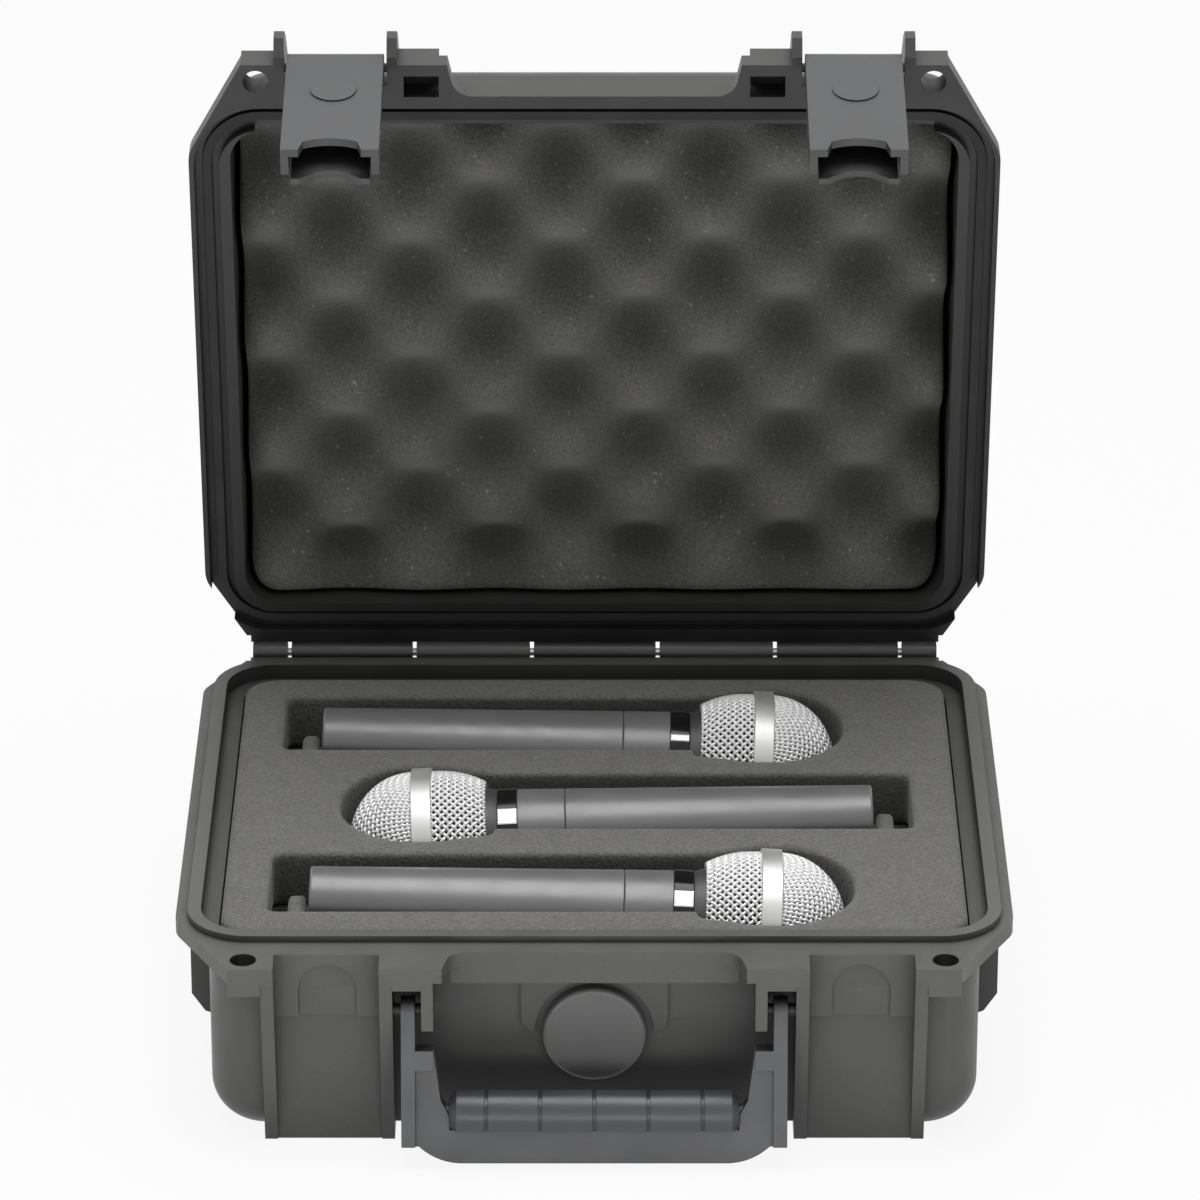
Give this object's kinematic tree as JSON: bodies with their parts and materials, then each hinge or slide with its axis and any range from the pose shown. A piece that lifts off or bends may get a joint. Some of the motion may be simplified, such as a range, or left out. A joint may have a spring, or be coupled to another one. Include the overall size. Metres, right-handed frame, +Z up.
{
  "type": "microphone case",
  "caption": "Moulded carry case with a hinged lid, over-centre latches, a fold-down handle and cut foam that holds handheld microphones.",
  "frame": {"origin": "centre of the base's flat underside", "axes": "+Z up, +X to the user's right, -Y the front with the handle and the latches, +Y the hinge side"},
  "size_m": [0.267, 0.2798, 0.3064],
  "materials": {
    "case_plastic": "matte",
    "disc_plastic": "satin",
    "base_foam": "matte",
    "lid_foam": "matte",
    "gasket": "matte",
    "pin_steel": "satin",
    "handle_plastic": "satin",
    "grip_plastic": "satin",
    "spring_steel": "satin",
    "cap_plastic": "satin",
    "latch_plastic": "satin",
    "mic_paint": "satin",
    "mic_ring": "gloss",
    "mic_collar": "satin",
    "mic_band": "satin",
    "mic_mesh": "satin",
    "contact_metal": "polished",
    "mic_insert": "matte"
  },
  "bodies": {
    "base": {"base_shell": "case_plastic", "foam_top_layer": "base_foam", "foam_middle_layer": "base_foam", "foam_floor_layer": "base_foam", "front_disc": "disc_plastic", "hinge_pin": "pin_steel", "handle_pins": "pin_steel"},
    "lid": {"lid_shell": "case_plastic", "lid_foam": "lid_foam", "lid_gasket": "gasket", "latch_pins": "pin_steel"},
    "handle": {"handle_frame": "handle_plastic", "handle_grip": "grip_plastic"},
    "latch_left": {"latch_left_body": "latch_plastic", "latch_left_cap": "cap_plastic", "latch_left_trigger_pin": "pin_steel", "latch_left_trigger_spring": "spring_steel"},
    "trigger_left": {"latch_left_trigger": "latch_plastic"},
    "latch_right": {"latch_right_body": "latch_plastic", "latch_right_cap": "cap_plastic", "latch_right_trigger_pin": "pin_steel", "latch_right_trigger_spring": "spring_steel"},
    "trigger_right": {"latch_right_trigger": "latch_plastic"},
    "mic_back": {"mic_back_barrel": "mic_paint", "mic_back_body": "mic_paint", "mic_back_capsule": "mic_insert", "mic_back_collar": "mic_collar", "mic_back_connector": "mic_insert", "mic_back_contact_pins": "contact_metal", "mic_back_front_grille": "mic_mesh", "mic_back_head_band": "mic_band", "mic_back_rear_grille": "mic_mesh", "mic_back_ring": "mic_ring"},
    "mic_middle": {"mic_middle_barrel": "mic_paint", "mic_middle_body": "mic_paint", "mic_middle_capsule": "mic_insert", "mic_middle_collar": "mic_collar", "mic_middle_connector": "mic_insert", "mic_middle_contact_pins": "contact_metal", "mic_middle_front_grille": "mic_mesh", "mic_middle_head_band": "mic_band", "mic_middle_rear_grille": "mic_mesh", "mic_middle_ring": "mic_ring"},
    "mic_front": {"mic_front_barrel": "mic_paint", "mic_front_body": "mic_paint", "mic_front_capsule": "mic_insert", "mic_front_collar": "mic_collar", "mic_front_connector": "mic_insert", "mic_front_contact_pins": "contact_metal", "mic_front_front_grille": "mic_mesh", "mic_front_head_band": "mic_band", "mic_front_rear_grille": "mic_mesh", "mic_front_ring": "mic_ring"}
  },
  "joints": [
    {"name": "lid_hinge", "type": "hinge", "parent": "base", "child": "lid", "pos_m": [0, 0.12035, 0.067], "axis": [-1, 0, 0], "range_deg": [-80, 25]},
    {"name": "latch_left_hinge", "type": "hinge", "parent": "lid", "child": "latch_left", "pos_m": [-0.0844, 0.08261, 0.29542], "axis": [-1, 0, 0], "range_deg": [0, 120]},
    {"name": "trigger_left_hinge", "type": "hinge", "parent": "latch_left", "child": "trigger_left", "pos_m": [-0.0844, 0.04396, 0.28718], "axis": [-1, 0, 0], "range_deg": [0, 15], "stiffness_Nm_per_rad": 0.03, "springref_deg": -28.65},
    {"name": "latch_right_hinge", "type": "hinge", "parent": "lid", "child": "latch_right", "pos_m": [0.0844, 0.08261, 0.29542], "axis": [-1, 0, 0], "range_deg": [0, 120]},
    {"name": "trigger_right_hinge", "type": "hinge", "parent": "latch_right", "child": "trigger_right", "pos_m": [0.0844, 0.04396, 0.28718], "axis": [-1, 0, 0], "range_deg": [0, 15], "stiffness_Nm_per_rad": 0.03, "springref_deg": -28.65},
    {"name": "handle_hinge", "type": "hinge", "parent": "base", "child": "handle", "pos_m": [0, -0.10715, 0.0495], "axis": [-1, 0, 0], "range_deg": [0, 95]},
    {"name": "mic_back_lift", "type": "slide", "parent": "base", "child": "mic_back", "axis": [0, 0, 1], "range_m": [0, 0.1]},
    {"name": "mic_middle_lift", "type": "slide", "parent": "base", "child": "mic_middle", "axis": [0, 0, 1], "range_m": [0, 0.1]},
    {"name": "mic_front_lift", "type": "slide", "parent": "base", "child": "mic_front", "axis": [0, 0, 1], "range_m": [0, 0.1]}
  ]
}
